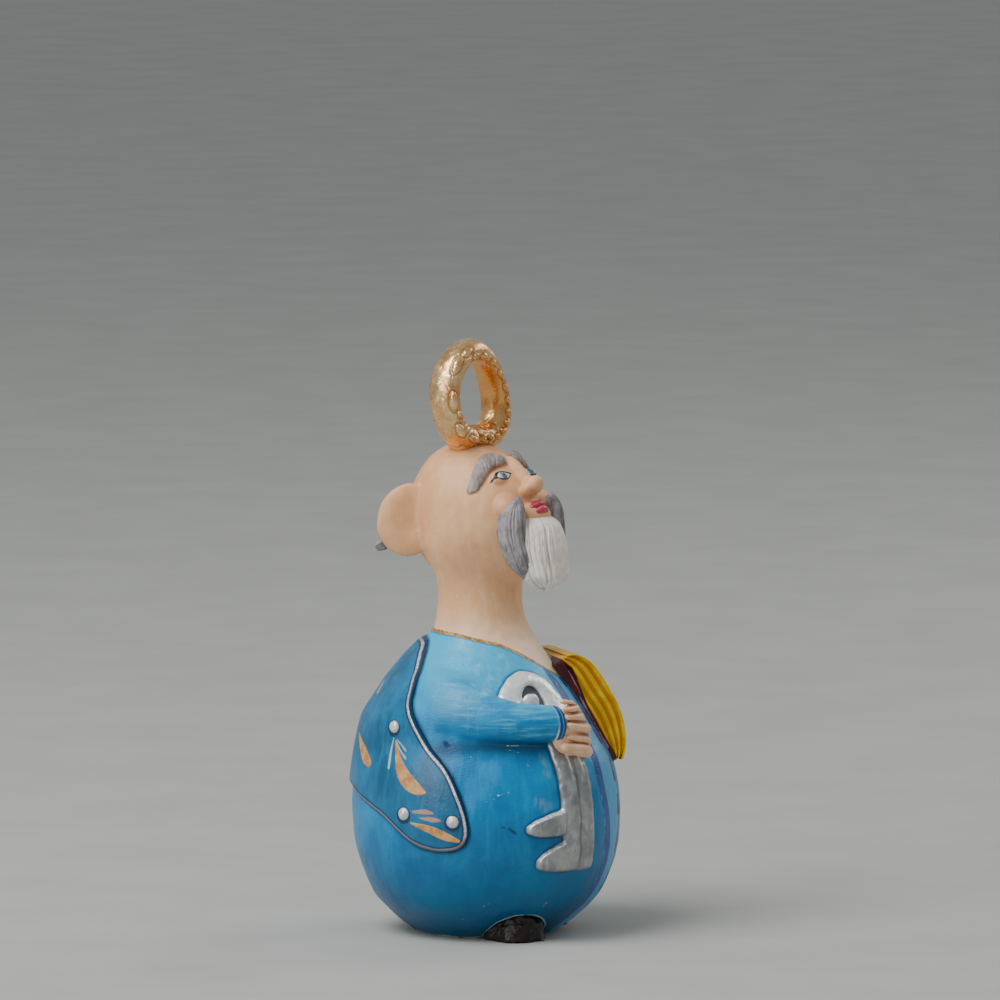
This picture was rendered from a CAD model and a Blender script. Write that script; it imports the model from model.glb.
import math
import bpy
import numpy as np
from mathutils import Matrix


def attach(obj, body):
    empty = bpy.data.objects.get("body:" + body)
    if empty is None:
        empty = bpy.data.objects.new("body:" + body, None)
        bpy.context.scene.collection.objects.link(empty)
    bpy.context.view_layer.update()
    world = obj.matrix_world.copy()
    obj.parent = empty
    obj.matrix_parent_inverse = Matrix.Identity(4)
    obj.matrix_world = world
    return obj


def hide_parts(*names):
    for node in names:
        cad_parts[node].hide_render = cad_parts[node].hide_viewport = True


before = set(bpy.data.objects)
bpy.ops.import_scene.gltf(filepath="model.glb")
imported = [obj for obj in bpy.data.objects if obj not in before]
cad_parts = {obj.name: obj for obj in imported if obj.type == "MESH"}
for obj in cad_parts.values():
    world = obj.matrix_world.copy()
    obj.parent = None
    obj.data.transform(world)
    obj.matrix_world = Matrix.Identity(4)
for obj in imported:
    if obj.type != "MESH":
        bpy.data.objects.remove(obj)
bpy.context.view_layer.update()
mm = 0.001  # every size below is in millimetres, and becomes metres as a mesh is made
upward = np.array([0, 0, 1.0])
print("frame loaded")


# tools for surfaces

def smoothRows(rows, x, column=1):
    # a cubic between each two rows, its slope at a row the mean climb to the rows on both sides
    table = np.array(rows, float)
    key, value = table[:, 0], table[:, column]
    slope = np.gradient(value)
    slope[1:-1] = (value[2:] - value[:-2]) / (key[2:] - key[:-2])
    slope[0] = (value[1] - value[0]) / (key[1] - key[0])
    slope[-1] = (value[-1] - value[-2]) / (key[-1] - key[-2])
    x = np.clip(x, key[0], key[-1])
    i = np.clip(np.searchsorted(key, x, side="right") - 1, 0, len(key) - 2)
    span = key[i + 1] - key[i]
    t = (x - key[i]) / span
    return ((2 * t**3 - 3 * t**2 + 1) * value[i] + (t**3 - 2 * t**2 + t) * span * slope[i]
            + (3 * t**2 - 2 * t**3) * value[i + 1] + (t**3 - t**2) * span * slope[i + 1])


def mix(a, b, t):
    # a straight blend, a at t = 0 and b at t = 1
    return a + (b - a) * t


def rounded(t, cap):
    # 1 along the middle of 0..1, falling to 0 at both ends on a quarter circle of length cap
    edge = np.clip(np.minimum(t, 1 - t) / cap, 0, 1)
    return np.sqrt(1 - (1 - edge) ** 2)


def bell(away, size):
    # 1 at a place, falling off over size mm on a bell curve of the distance
    return np.exp(-(np.linalg.norm(away / np.asarray(size), axis=1) ** 2))


def softMax(a, b, reach):
    # the larger of two, with a fillet where they differ by less than reach
    h = np.clip(0.5 + 0.5 * (a - b) / reach, 0, 1)
    return b + (a - b) * h + reach * h * (1 - h)


def lumps(points, size, seed, waves=14):
    # hand-made unevenness, about -1..1: a sum of sine waves in random directions, size mm long
    rng = np.random.default_rng(seed)
    way = rng.normal(size=(waves, 3))
    way *= (rng.uniform(0.6, 1.5, (waves, 1)) / np.linalg.norm(way, axis=1, keepdims=True)) * 2 * np.pi / size
    return np.sin(points @ way.T + rng.uniform(0, 2 * np.pi, waves)).sum(-1) / math.sqrt(waves) * 0.8


def around(phi, z, out):
    # a point out mm from the axis; phi goes from the front round to the figure's right side
    phi, z, out = np.broadcast_arrays(np.radians(phi), z, out)
    return np.stack([-out * np.sin(phi), -out * np.cos(phi), z], -1).astype(float)


def phiOf(points):
    # how far each point is turned round the axis, in degrees
    return np.degrees(np.arctan2(-points[..., 0], -points[..., 1]))


def stations(count, pinch=True):
    # shares of a closed form's length, closer together at its two ends
    s = (np.arange(count) + 0.5) / count
    return 0.5 - 0.5 * np.cos(np.pi * s) if pinch else s


def loop(count):
    # angles once round a circle, evenly spaced
    return 2 * np.pi * np.arange(count) / count


def ballGrid(loops, rows):
    # angles round a ball and down it from pole to pole, ready for points with three coordinates
    return loop(loops)[None, :, None], (np.pi * stations(rows, False))[:, None, None]


def loft(points, ring=False):
    # points are stations x loop x 3: quads join each station to the next, a fan closes each end,
    # and faces are turned round if the volume comes out negative
    n, m = points.shape[:2]
    index = np.arange(n * m).reshape(n, m)
    rows = np.arange(n if ring else n - 1)
    a, b = index[rows], index[(rows + 1) % n]
    quads = np.stack([a, np.roll(a, -1, 1), np.roll(b, -1, 1), b], -1).reshape(-1, 4)
    verts = points.reshape(-1, 3)
    fans = np.zeros((0, 3), int)
    if not ring:
        verts = np.vstack([verts, points[0].mean(0), points[-1].mean(0)])
        first, last = index[0], index[-1]
        fans = np.vstack([np.stack([np.roll(first, -1), first, np.full(m, n * m)], -1),
                          np.stack([last, np.roll(last, -1), np.full(m, n * m + 1)], -1)])
    p, q, r, s = (verts[quads[:, k]] for k in range(4))
    volume = (p * np.cross(q, r)).sum() + (p * np.cross(r, s)).sum()
    if len(fans):
        volume += (verts[fans[:, 0]] * np.cross(verts[fans[:, 1]], verts[fans[:, 2]])).sum()
    if volume < 0:
        quads, fans = quads[:, ::-1], fans[:, ::-1]
    return verts, quads, fans


def egg(centre, halfA, halfB, halfC):
    # an ellipsoid: loops round axis C, its three half axes given as vectors
    turn, polar = ballGrid(40, 24)
    return loft(np.asarray(centre) + np.asarray(halfA) * np.cos(turn) * np.sin(polar)
                + np.asarray(halfB) * np.sin(turn) * np.sin(polar) - np.asarray(halfC) * np.cos(polar))


def meshOf(name, forms):
    # one mesh of several forms, each a set of points with its quads and triangles
    verts, faces, start = [], [], 0
    for v, quads, fans in forms:
        verts.append(v)
        faces += (quads + start).tolist() + (fans + start).tolist()
        start += len(v)
    mesh = bpy.data.meshes.new(name)
    mesh.from_pydata((np.vstack(verts) * mm).tolist(), [], faces)
    mesh.shade_smooth()
    return mesh


def pointsOf(mesh):
    # every point of the mesh in mm, one row each
    flat = np.empty(len(mesh.vertices) * 3, np.float32)
    mesh.vertices.foreach_get("co", flat)
    return flat.reshape(-1, 3).astype(float) / mm


def normalsOf(mesh):
    # the outward direction at every point, length 1
    flat = np.empty(len(mesh.vertices) * 3, np.float32)
    mesh.vertices.foreach_get("normal", flat)
    return flat.reshape(-1, 3).astype(float)


def handMade(mesh, *waves):
    # moves each point along its normal by waves of height mm, length mm and seed, none below the floor
    p = pointsOf(mesh)
    p += normalsOf(mesh) * sum(high * lumps(p, size, seed) for high, size, seed in waves)[:, None]
    p[:, 2] = np.maximum(p[:, 2], 0)
    mesh.vertices.foreach_set("co", (p * mm).astype(np.float32).ravel())
    mesh.update()
    return p


def place(name, mesh, paint):
    # puts a finished mesh in the scene at the origin and ties it to the modelled piece
    piece = bpy.data.objects.new(name, mesh)
    bpy.context.scene.collection.objects.link(piece)
    mesh.materials.clear()
    mesh.materials.append(paint)
    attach(piece, "root")
    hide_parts("figurine")
    print(name, len(mesh.polygons), "faces")
    return piece


def fused(name, forms, voxel, rounds):
    # overlapping forms become one skin on a grid of voxel mm, then each point moves to its neighbours' mean
    carrier = bpy.data.objects.new(name, meshOf(name, forms))
    bpy.context.scene.collection.objects.link(carrier)
    skin = carrier.modifiers.new("skin", "REMESH")
    skin.mode, skin.voxel_size, skin.use_smooth_shade = "VOXEL", voxel * mm, True
    soften = carrier.modifiers.new("soften", "SMOOTH")
    soften.factor, soften.iterations = 0.5, rounds
    bpy.context.view_layer.update()
    mesh = bpy.data.meshes.new_from_object(carrier.evaluated_get(bpy.context.evaluated_depsgraph_get()))
    bpy.data.objects.remove(carrier)
    mesh.name = name
    mesh.shade_smooth()
    return mesh


def field(mesh, **layers):
    # numbers kept at every point, which the paints read by name
    for name, values in layers.items():
        layer = mesh.attributes.new(name, "FLOAT", "POINT")
        layer.data.foreach_set("value", np.asarray(values, np.float32).ravel())


def strokeField(points, curve, halves):
    # a brush stroke as a chain of discs: the largest of half width minus distance, above 0 inside
    best = np.full(len(points), -50.0)
    near = np.linalg.norm(points - curve.mean(0), axis=1) < np.ptp(curve, axis=0).max() + 6
    for start in range(0, len(curve), 40):
        c, h = curve[start:start + 40], halves[start:start + 40]
        gap = np.linalg.norm(points[near][:, None] - c[None], axis=2)
        best[near] = np.maximum(best[near], (h[None] - gap).max(1))
    return best


def gapTo(points, others, reach):
    # distance from each point to the nearest of the others, or reach if none is that near
    gap = np.full(len(points), float(reach))
    near = np.flatnonzero(((points > others.min(0) - reach) & (points < others.max(0) + reach)).all(1))
    for start in range(0, len(near), 400):
        part = near[start:start + 400]
        gap[part] = np.minimum(reach, np.linalg.norm(points[part][:, None] - others[None], axis=2).min(1))
    return gap


# painted finishes

class Wire:
    # one output of a node; sums, products and comparisons on it add Math nodes
    def __init__(self, board, socket):
        self.board, self.socket = board, socket

    def maths(self, operation, *others):
        return self.board.add("Math", {"operation": operation}, dict(enumerate((self,) + others)))

    def __add__(self, other):
        return self.maths("ADD", other)

    def __mul__(self, other):
        return self.maths("MULTIPLY", other)

    def __sub__(self, other):
        return self.maths("SUBTRACT", other)

    def __rsub__(self, other):
        return self.board.add("Math", {"operation": "SUBTRACT"}, {0: other, 1: self})

    __radd__, __rmul__ = __add__, __mul__

    def rise(self, low, high):
        # 0 below low, 1 above high, smooth between them
        return self.board.add("MapRange", {"interpolation_type": "SMOOTHSTEP"}, {0: self, 1: low, 2: high})

    def fall(self, low, high):
        return 1 - self.rise(low, high)

    def top(self, other):
        return self.maths("MAXIMUM", other)


class Board:
    # the node board of one paint
    def __init__(self, name, constants):
        self.material = bpy.data.materials.new(name)
        self.material.use_nodes = True
        self.tree = self.material.node_tree
        self.shader = self.tree.nodes["Principled BSDF"]
        for key, value in constants.items():
            self.shader.inputs[key].default_value = value
        self.spot = self.add("TexCoord", {}, {}, "Object")

    def add(self, kind, settings, sockets, out=0):
        node = self.tree.nodes.new("ShaderNode" + kind)
        for key, value in settings.items():
            setattr(node, key, value)
        for key, value in sockets.items():
            self.feed(node.inputs[key], value)
        return Wire(self, node.outputs[out])

    def feed(self, socket, value):
        if isinstance(value, Wire):
            self.tree.links.new(value.socket, socket)
        else:
            socket.default_value = value

    def field(self, name):
        return self.add("Attribute", {"attribute_name": name}, {}, "Fac")

    def noise(self, size, detail=2.0, stretch=(1, 1, 1), turn=(0, 0, 0), warp=0.0):
        # cloudy noise, size mm a patch, stretched along the axes
        spot = self.add("Mapping", {}, {"Vector": self.spot, "Rotation": turn,
                                        "Scale": tuple(1 / s for s in stretch)})
        return self.add("TexNoise", {}, {"Vector": spot, "Scale": 1000 / size, "Detail": detail,
                                         "Roughness": 0.55, "Distortion": warp}, "Fac")

    def mix(self, share, first, second):
        return self.add("Mix", {"data_type": "RGBA"}, {0: share, 6: first, 7: second}, 2)

    def over(self, share, coat):
        # lays a coat of colour on what is there, where share is above 0
        self.colour = self.mix(share, self.colour, coat)

    def finish(self, roughness, height, depth, metal=None):
        # depth is the relief of height 0..1 in mm
        bump = self.add("Bump", {}, {"Height": height, "Distance": depth * mm, "Strength": 1.0}, "Normal")
        self.feed(self.shader.inputs["Base Color"], self.colour)
        self.feed(self.shader.inputs["Roughness"], roughness)
        self.feed(self.shader.inputs["Normal"], bump)
        if metal is not None:
            self.feed(self.shader.inputs["Metallic"], metal)
        return self.material


def tint(red, green, blue):
    # a colour as seen on a screen, 0..255, made linear
    return tuple((c / 255 / 12.92 if c < 10.3 else ((c / 255 + 0.055) / 1.055) ** 2.4)
                 for c in (red, green, blue)) + (1.0,)


# the round body, which everything else is laid on

body = {
    "front": [[0, 14.2], [0.35, 14.9], [1, 15.7], [3.2, 18.7], [8, 23.1], [15.8, 26.4], [23.8, 27.1],
              [29, 26.8], [35, 25.5], [39.2, 23.4], [43.4, 21.1], [47.3, 18.8], [51.5, 15.9], [54.5, 13.5],
              [57.4, 11.5], [60, 9.7], [64, 8], [69, 7.5], [74, 8.1], [79, 9.4], [84, 10.2], [88, 9.6]],
    "back": [[0, 14.2], [0.35, 14.9], [1, 15.6], [3.2, 18.3], [8, 22.8], [15.8, 25.9], [23.8, 27.1],
             [29, 27], [36, 26.1], [43.8, 24.3], [49, 21.2], [53, 18.2], [56, 15.8], [59, 12.8],
             [61, 11.1], [65, 10.3], [69, 10.1], [72.5, 11], [75.6, 12.6], [79, 13.6], [84, 13.4],
             [88, 11.6]],
    "shoulder": {"rise": 3.2, "z": 49, "reach": 6.5, "phi": 92, "spread": 32},
    "neckTip": -10,  # the neckline dips here: degrees away from it, then z
    "neckline": [[0, 52], [6, 52.5], [12.4, 53.5], [24.4, 55.1], [42, 57.3], [58, 58.8], [81, 59.9],
                 [117, 61], [180, 61.2]],
    "baseRadius": 14.2,
}


def bodyRadius(phi, z):
    # front and back outline mixed by the cosine of phi, plus a bell-shaped swell at each shoulder
    s = body["shoulder"]
    sideways = np.abs((np.asarray(phi) + 540) % 360 - 180)
    swell = np.exp(-(((z - s["z"]) / s["reach"]) ** 2) - ((sideways - s["phi"]) / s["spread"]) ** 2)
    return mix(smoothRows(body["front"], z), smoothRows(body["back"], z),
               0.5 - 0.5 * np.cos(np.radians(phi))) + s["rise"] * swell


def onBody(phi, z, rise=0.0):
    # a point on the round body, rise mm above it
    return around(phi, z, bodyRadius(phi, z) + rise)


def necklineZ(phi):
    # the neckline's height, the same on both sides of its lowest tip
    return smoothRows(body["neckline"], np.abs((np.asarray(phi) - body["neckTip"] + 540) % 360 - 180))


def brushed(marks, step=0.1):
    # a smooth line on the body through rows of phi, z and half width, cut into steps of step mm
    rows = np.array(marks, float)
    ends = onBody(rows[:, 0], rows[:, 1])
    length = np.concatenate([[0], np.cumsum(np.linalg.norm(np.diff(ends, axis=0), axis=1))])
    s = np.linspace(0, length[-1], max(int(length[-1] / step), 3))
    table = np.column_stack([length, rows])
    phi, z, half = (smoothRows(table, s, k) for k in (1, 2, 3))
    return onBody(phi, z), np.maximum(half, 0.02)


def brushAll(points, strokes):
    # how far inside the nearest of the strokes, in mm
    best = np.full(len(points), -50.0)
    for marks in strokes:
        best = np.maximum(best, strokeField(points, *brushed(marks)))
    return best


sleeve = {  # share of the length, phi, z, centre from the axis, half height, half depth, inward lean
    "stations": [[0, 128, 50, 13, 7.5, 5.2, 4], [0.25, 105, 47.4, 19.4, 8, 5.7, 4.6],
                 [0.5, 80, 47, 21, 6.6, 5.2, 3.2], [0.75, 55, 45, 22.8, 4.3, 4.2, 1.2],
                 [1, 29.5, 44.2, 24, 3.75, 3.5, 0]],
    "leftReach": 32,  # the left arm reaches less far forward, by this many degrees
    "cuff": {"phi": 29.5, "z": 44, "out": 24},
}


def sleeveForm(hand, shift):
    # an oval carried round the body, its top leaning in; at the cuff it turns in to a shallow dish
    t = np.concatenate([0.5 - 0.5 * np.cos(np.pi * np.linspace(0.02, 1, 90)), [1, 1, 0.99]])[:, None]
    squeeze = np.concatenate([rounded(0.5 * t[:90, 0], 0.03), [0.9, 0.78, 0.5]])[:, None]
    turn = loop(64)[None]
    row = [smoothRows(sleeve["stations"], t, k) for k in range(1, 7)]
    lean = 0.5 * row[5] * (1 + np.sin(turn))
    out = row[2] + (row[4] * np.cos(turn) - lean) * squeeze
    return loft(around(hand * (row[0] + shift * t), row[1] + row[3] * squeeze * np.sin(turn), out))


def sleeveOut(phi, z, shift):
    # how far the sleeve's outer side stands from the axis at phi and z, 0 where there is none
    t = np.linspace(0, 1, 400)
    reach = smoothRows(sleeve["stations"], t) + shift * t
    share = np.interp(-np.asarray(phi), -reach, t, left=0, right=1)
    row = [smoothRows(sleeve["stations"], share, k) for k in range(2, 7)]
    e = np.clip((z - row[0]) / row[2], -1, 1)
    out = row[1] + row[3] * np.sqrt(1 - e**2) - 0.5 * row[4] * (1 + e)
    return np.where((np.abs(e) < 1) & (phi < reach[0]) & (phi > reach[-1]), out, 0)


robe = {
    "voxel": 0.43, "rounds": 5,
    "stripe": [[9.5, 53.9, 0.4], [6.3, 51.1, 0.9], [4.8, 48.2, 1.0], [4.4, 42, 1.05], [4.6, 37.4, 1.1],
               [4.9, 32.5, 1.2], [3.2, 27.5, 1.25], [0.6, 22.3, 1.25], [0, 16.2, 1.2], [1.6, 9.6, 1.0],
               [5.6, 5.7, 0.8], [9.5, 3.6, 0.5]],
    "dashes": [[[-4.4, 51.9, 0.3], [-6.2, 50.2, 0.5]], [[-8.2, 49.4, 0.3], [-9.4, 47, 0.6]],
               [[-9.6, 44.6, 0.4], [-10, 42.8, 0.7]], [[-9.8, 41.2, 0.4], [-11, 39, 0.8]],
               [[-12, 35, 0.5], [-12.4, 31.5, 0.8]], [[-12.6, 28, 0.5], [-12.8, 24.6, 0.8]],
               [[-12.4, 20, 0.6], [-12, 17, 0.8]], [[-11, 12.5, 0.5], [-9.6, 9.2, 0.6]]],
    "dashLine": [[9, -9.4], [20, -12.4], [30, -12.6], [40, -10.4], [52, -4.4]],  # z, phi
    "pale": [[[7.6, 53.2, 0.1], [3.2, 48.2, 0.16], [2.4, 40, 0.14]],
             [[6.6, 30, 0.1], [2.6, 18, 0.16], [4, 9, 0.1]]],
    "scratches": [[[46.8, 36.6, 0.08], [45, 35.6, 0.1]], [[72.5, 38.3, 0.1], [75.6, 37.8, 0.08]],
                  [[63, 8.6, 0.08], [68, 7.6, 0.12]], [[78, 4.9, 0.1], [80.6, 4.6, 0.08]],
                  [[33.2, 8.6, 0.07], [36, 7.2, 0.09]], [[60, 40.4, 0.08], [50, 40.2, 0.12]],
                  [[57, 39.6, 0.06], [49, 38.8, 0.1]], [[62, 30.6, 0.07], [56, 31.2, 0.1]],
                  [[66, 29.4, 0.05], [61, 30.2, 0.07]]],
    "smears": [[[38.6, 38.4, 0.4], [37.2, 34.6, 0.85]], [[43, 29, 0.9], [39.6, 28.2, 1.2]],
               [[-11.6, 52.4, 0.45], [-12.2, 51.4, 0.5]], [[118, 52.4, 0.5], [115.6, 51.4, 0.7]]],
    "blots": [[[85.8, 40.8, 0.55], [84.6, 40.4, 0.62], [83.4, 40.2, 0.3]],
              [[56, 23.8, 0.3], [53.4, 23, 0.34]], [[59, 24.4, 0.22], [57.6, 24, 0.2]]],
    # phi, z and size
    "worn": [[66.6, 51.2, 2.4], [72, 55.2, 2.0], [83.7, 59.4, 2.6], [52.6, 56.4, 2.6], [60, 53, 1.6]],
}


def robePaint():
    # blue under brushed streaks, then each painted mark where its field is above 0, in the order painted
    b = Board("robePaint", {"Specular IOR Level": 0.42, "Coat Weight": 0.08, "Coat Roughness": 0.22})
    wobble = b.noise(1.6, 2) * 0.5 - 0.25
    strokes = b.noise(1.5, 3, (1.2, 1.2, 7), (0, 0.2, 0), 0.6)
    fine = b.noise(0.5, 3, (2.4, 2.4, 0.55), (0.1, 0, 0))
    cloud = b.noise(9, 3)
    b.colour = b.mix(cloud.rise(0.32, 0.68), tint(0, 118, 180), tint(0, 146, 208))
    b.over(strokes.rise(0.42, 0.78) * 0.28, tint(30, 180, 226))
    b.over(fine.rise(0.55, 0.8) * 0.18, tint(0, 90, 144))
    b.over(b.field("upper") * 0.62, tint(58, 204, 246))
    drawn = b.noise(1, 3, (7, 7, 0.8), (0, 0.06, 0))
    b.over(b.field("arm") * drawn.rise(0.48, 0.72) * 0.5, tint(110, 212, 234))
    b.over(b.field("arm") * drawn.fall(0.3, 0.48) * 0.4, tint(0, 104, 150))
    near = b.field("keyGap").fall(0.1, 0.9).top(b.field("mantleGap").fall(0.15, 0.8))
    near = near * (0.5 + b.noise(1.7, 3) * 0.7)
    b.over(b.field("wash").top(near * 0.9), tint(0, 70, 108))
    b.over((b.field("hole") + wobble * 0.5).rise(-0.1, 0.2), tint(96, 104, 110))
    band = (b.field("band") + wobble).rise(-0.1, 0.5)
    b.over(band * 0.7, tint(80, 176, 228))
    worn = b.field("worn") * b.noise(1.3, 3, (1, 1, 4)).rise(0.4, 0.74)
    b.over(worn * 0.5, tint(170, 228, 248))
    stripe = (b.field("stripe") + wobble * 0.5).rise(-0.16, 0)
    b.over(stripe, b.mix(strokes.rise(0.3, 0.7), tint(0, 72, 140), tint(0, 84, 158)))
    dashes = (b.field("dashes") + wobble * 0.5).rise(-0.05, 0.08)
    b.over(dashes, tint(8, 28, 92))
    pale = (b.field("pale") + wobble * 0.3).rise(-0.06, 0.06) * b.noise(2.2, 2).rise(0.4, 0.56)
    b.over(pale * 0.8, tint(180, 206, 222))
    scratch = (b.field("scratches") + wobble * 0.3).rise(-0.05, 0.05) * b.noise(0.5, 2).rise(0.4, 0.55)
    b.over(scratch * 0.85, tint(222, 232, 234))
    smear = (b.field("smears") + wobble * 2).rise(-0.7, 0.7) * b.noise(1, 3, (1, 1, 5)).rise(0.38, 0.66)
    b.over(smear * 0.26, tint(176, 190, 196))
    b.over(b.field("bookGap").fall(0.35, 0.9) * 0.85, tint(4, 20, 54))
    blot = (b.field("blots") + wobble * 0.7).rise(-0.1, 0.2)
    b.over(blot * 0.85, tint(4, 30, 92))
    cuff = b.field("cuff") + wobble * 0.3  # mm from the cuff's edge
    b.over(cuff.fall(1.4, 1.52), tint(0, 70, 136))
    b.over(cuff.rise(0.62, 0.7) * cuff.fall(0.86, 0.96) * 0.8, tint(70, 160, 206))
    b.over(cuff.rise(1.5, 1.6) * cuff.fall(1.8, 2) * b.field("cuffLow"), tint(222, 232, 236))
    hem = b.field("height") + wobble
    b.over(hem.fall(0.3, 0.55) * b.noise(3, 2).rise(0.42, 0.55) * 0.8, tint(214, 214, 204))
    shoe = b.field("shoeGap") + wobble * 0.5
    b.over(shoe.fall(0.2, 0.42) * b.noise(2.4, 2).rise(0.36, 0.5) * 0.8, tint(170, 206, 220))
    b.over(shoe.fall(0, 0.16), tint(24, 14, 12))
    neck = b.field("neckGap") + wobble * 0.35
    gold = neck.fall(0.26, 0.38)
    b.over((neck.fall(0.5, 0.8) - gold) * 0.5, tint(30, 66, 96))
    b.over(gold, b.mix(b.noise(0.9, 2).rise(0.4, 0.6), tint(150, 100, 38), tint(214, 172, 100)))
    relief = strokes * 0.6 + fine * 0.4 + stripe * 0.5 + gold * 0.6
    return b.finish(0.3 + strokes * 0.16 + worn * 0.1, relief, 0.22)


def robeForm():
    # rings up the body to the neckline, after a flat disc below and before a lip that turns in
    turn = np.degrees(loop(300))[None]
    disc = (np.linspace(0.06, 1, 16, endpoint=False) * body["baseRadius"])[:, None] + 0 * turn
    under = around(turn, 0 * disc, disc)
    top = necklineZ(turn)
    z = (np.linspace(0, 1, 150) ** 1.12)[:, None] * top
    wall = around(turn, z, bodyRadius(turn, z))
    lip = np.array([[0.12, 0.18], [0.1, 0.6], [-0.6, 1.4], [-2, 2.2]])
    over = around(turn, top + lip[:, :1], bodyRadius(turn, top) - lip[:, 1:])
    return loft(np.concatenate([under, wall, over]))


shoe = {"along": 7.6, "across": 6.1, "up": 6.9, "blunt": 0.62,
        "places": [[44, 14.6], [-63, 12.6]]}  # phi, distance from the axis


def shoeForm(phi, out):
    # a blunt egg: each sine and cosine to the power blunt, cut flat at the floor, with thumbed lumps
    blunt = lambda x: np.sign(x) * np.abs(x) ** shoe["blunt"]
    turn, polar = ballGrid(90, 60)
    outward, across = around(phi, 0, 1), around(phi + 90, 0, 1)
    ring = blunt(np.sin(polar))
    middle = outward * out
    p = (middle + outward * shoe["along"] * ring * np.cos(turn)
         + across * shoe["across"] * ring * np.sin(turn) - upward * shoe["up"] * blunt(np.cos(polar)))
    thumbed = 0.96 + 0.07 * lumps(p, 5.5, 3) + 0.025 * lumps(p, 2, 4)
    p = middle + (p - middle) * thumbed[..., None]
    p[..., 2] = np.maximum(p[..., 2], 0)
    return loft(p)


robeMesh = fused("robe", [robeForm(), sleeveForm(1, 0), sleeveForm(-1, sleeve["leftReach"])],
                 robe["voxel"], robe["rounds"])
p = handMade(robeMesh, (0.1, 11, 1), (0.035, 3.6, 2))
phi, z, out = phiOf(p), p[:, 2], np.hypot(p[:, 0], p[:, 1])
proud = out - bodyRadius(phi, z)
flat = p.copy()  # the same places put back on the bare body, so that paint lines can be laid there
flat[:, :2] *= (bodyRadius(phi, z) / np.maximum(out, 1e-6))[:, None]
bare = np.where(proud < 0.9, 0, -50)  # lines on the body stay off the sleeves
for name in ("stripe", "dashes", "pale", "scratches", "smears", "blots"):
    marks = [robe[name]] if name == "stripe" else robe[name]
    field(robeMesh, **{name: brushAll(flat, marks) + bare})
stripeAt = smoothRows([[m[1], m[0]] for m in robe["stripe"][::-1]], z)
dashAt = smoothRows(robe["dashLine"], z)
field(robeMesh, band=np.radians(np.minimum(stripeAt - phi, phi - dashAt)) * out + bare)
field(robeMesh, upper=np.clip((z - 43) / 12, 0, 1) * np.clip(1 - (proud - 1) / 6, 0.4, 1))
cuff = sleeve["cuff"]
cuffTurn = np.where(phi > 0, phi, -phi - sleeve["leftReach"]) - cuff["phi"]
onCuff = (proud > 0.7) & (np.abs(z - cuff["z"]) < 6)
field(robeMesh, cuff=np.where(onCuff, np.radians(cuffTurn) * cuff["out"], 50))
rightLow = smoothRows([[m[1], m[2] - m[4]] for m in sleeve["stations"][::-1]], np.abs(phi))
under = np.exp(-(((z - rightLow + 0.6) / 1.6) ** 2)) * (np.abs(phi) > 33) * (np.abs(phi) < 112)
field(robeMesh, wash=np.clip(under * 0.85 + 0.9 * np.clip(1.12 - z / 25, 0, 1)
                                + 0.4 * np.clip((12 - phi) / 30, 0, 1) * (np.abs(phi) < 70), 0, 1))
field(robeMesh, worn=np.clip(sum(bell(flat - onBody(a, h), size) for a, h, size in robe["worn"]), 0, 1))
field(robeMesh, height=z)
field(robeMesh, arm=np.clip((proud - 0.8) / 1.2, 0, 1))
field(robeMesh, cuffLow=np.clip((44.6 - z) / 2, 0.15, 1))
allRound = np.linspace(-180, 180, 1500)
noWidth = np.zeros(len(allRound))
field(robeMesh, neckGap=-strokeField(p, onBody(allRound, necklineZ(allRound)), noWidth))
gap = np.full(len(p), 50.0)
for a, reach in shoe["places"]:
    outward, across = around(a, 0, 1), around(a + 90, 0, 1)
    local = p - outward * reach
    x, y, h = local @ outward / shoe["along"], local @ across / shoe["across"], local[:, 2] / shoe["up"]
    power = 2 / shoe["blunt"]
    size = (np.hypot(x, y) ** power + np.abs(h) ** power) ** (1 / power)
    gap = np.minimum(gap, (size - 1) * 6)
field(robeMesh, shoeGap=gap)
place("robe", robeMesh, robePaint())


def shoePaint():
    # near black with worn specks
    b = Board("shoePaint", {"Specular IOR Level": 0.4})
    grain = b.noise(1.1, 4)
    b.colour = b.mix(grain.rise(0.35, 0.7), tint(15, 7, 5), tint(38, 21, 16))
    b.over(b.noise(0.7, 3).rise(0.68, 0.8) * 0.3, tint(112, 90, 80))
    return b.finish(0.14 + grain * 0.22, grain, 0.4)


shoeBlack = shoePaint()
for name, (a, reach) in zip(("rightShoe", "leftShoe"), shoe["places"]):
    place(name, meshOf(name, [shoeForm(a, reach)]), shoeBlack)


# neck, head and face, in the head's own directions: side, front and up

head = {
    "turn": 12, "tilt": 45, "forward": -0.7, "z": 84.5,
    "side": 11.9, "front": 13.1, "back": 15.3, "up": 16.9, "down": 15.2, "drop": 0.8,
    "chinNarrowing": 0.2, "chinShallower": 0.45,
    "voxel": 0.33, "rounds": 4,
}
forwardFlat = around(head["turn"], 0, 1)
headSide = around(head["turn"] + 90, 0, 1)
lean = math.radians(head["tilt"])
headFront = forwardFlat * math.cos(lean) + upward * math.sin(lean)
headUp = upward * math.cos(lean) - forwardFlat * math.sin(lean)
headMiddle = forwardFlat * head["forward"] + upward * head["z"]


def inHead(side, front, up):
    # a place given along the head's own directions
    side, front, up = np.broadcast_arrays(side, front, up)
    return headMiddle + side[..., None] * headSide + front[..., None] * headFront + up[..., None] * headUp


def level(side, forward, z):
    # beside the head along the floor's directions, at height z
    side, forward, z = np.broadcast_arrays(np.asarray(side, float), forward, z)
    q = headMiddle * [1, 1, 0] + side[..., None] * headSide + forward[..., None] * forwardFlat
    return q + z[..., None] * upward


def inFace(side, front, up, halfSide, halfFront, halfUp):
    # an egg set in the head, its half sizes along the head's own directions
    return egg(inHead(side, front, up), headSide * halfSide, headFront * halfFront, headUp * halfUp)


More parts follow.
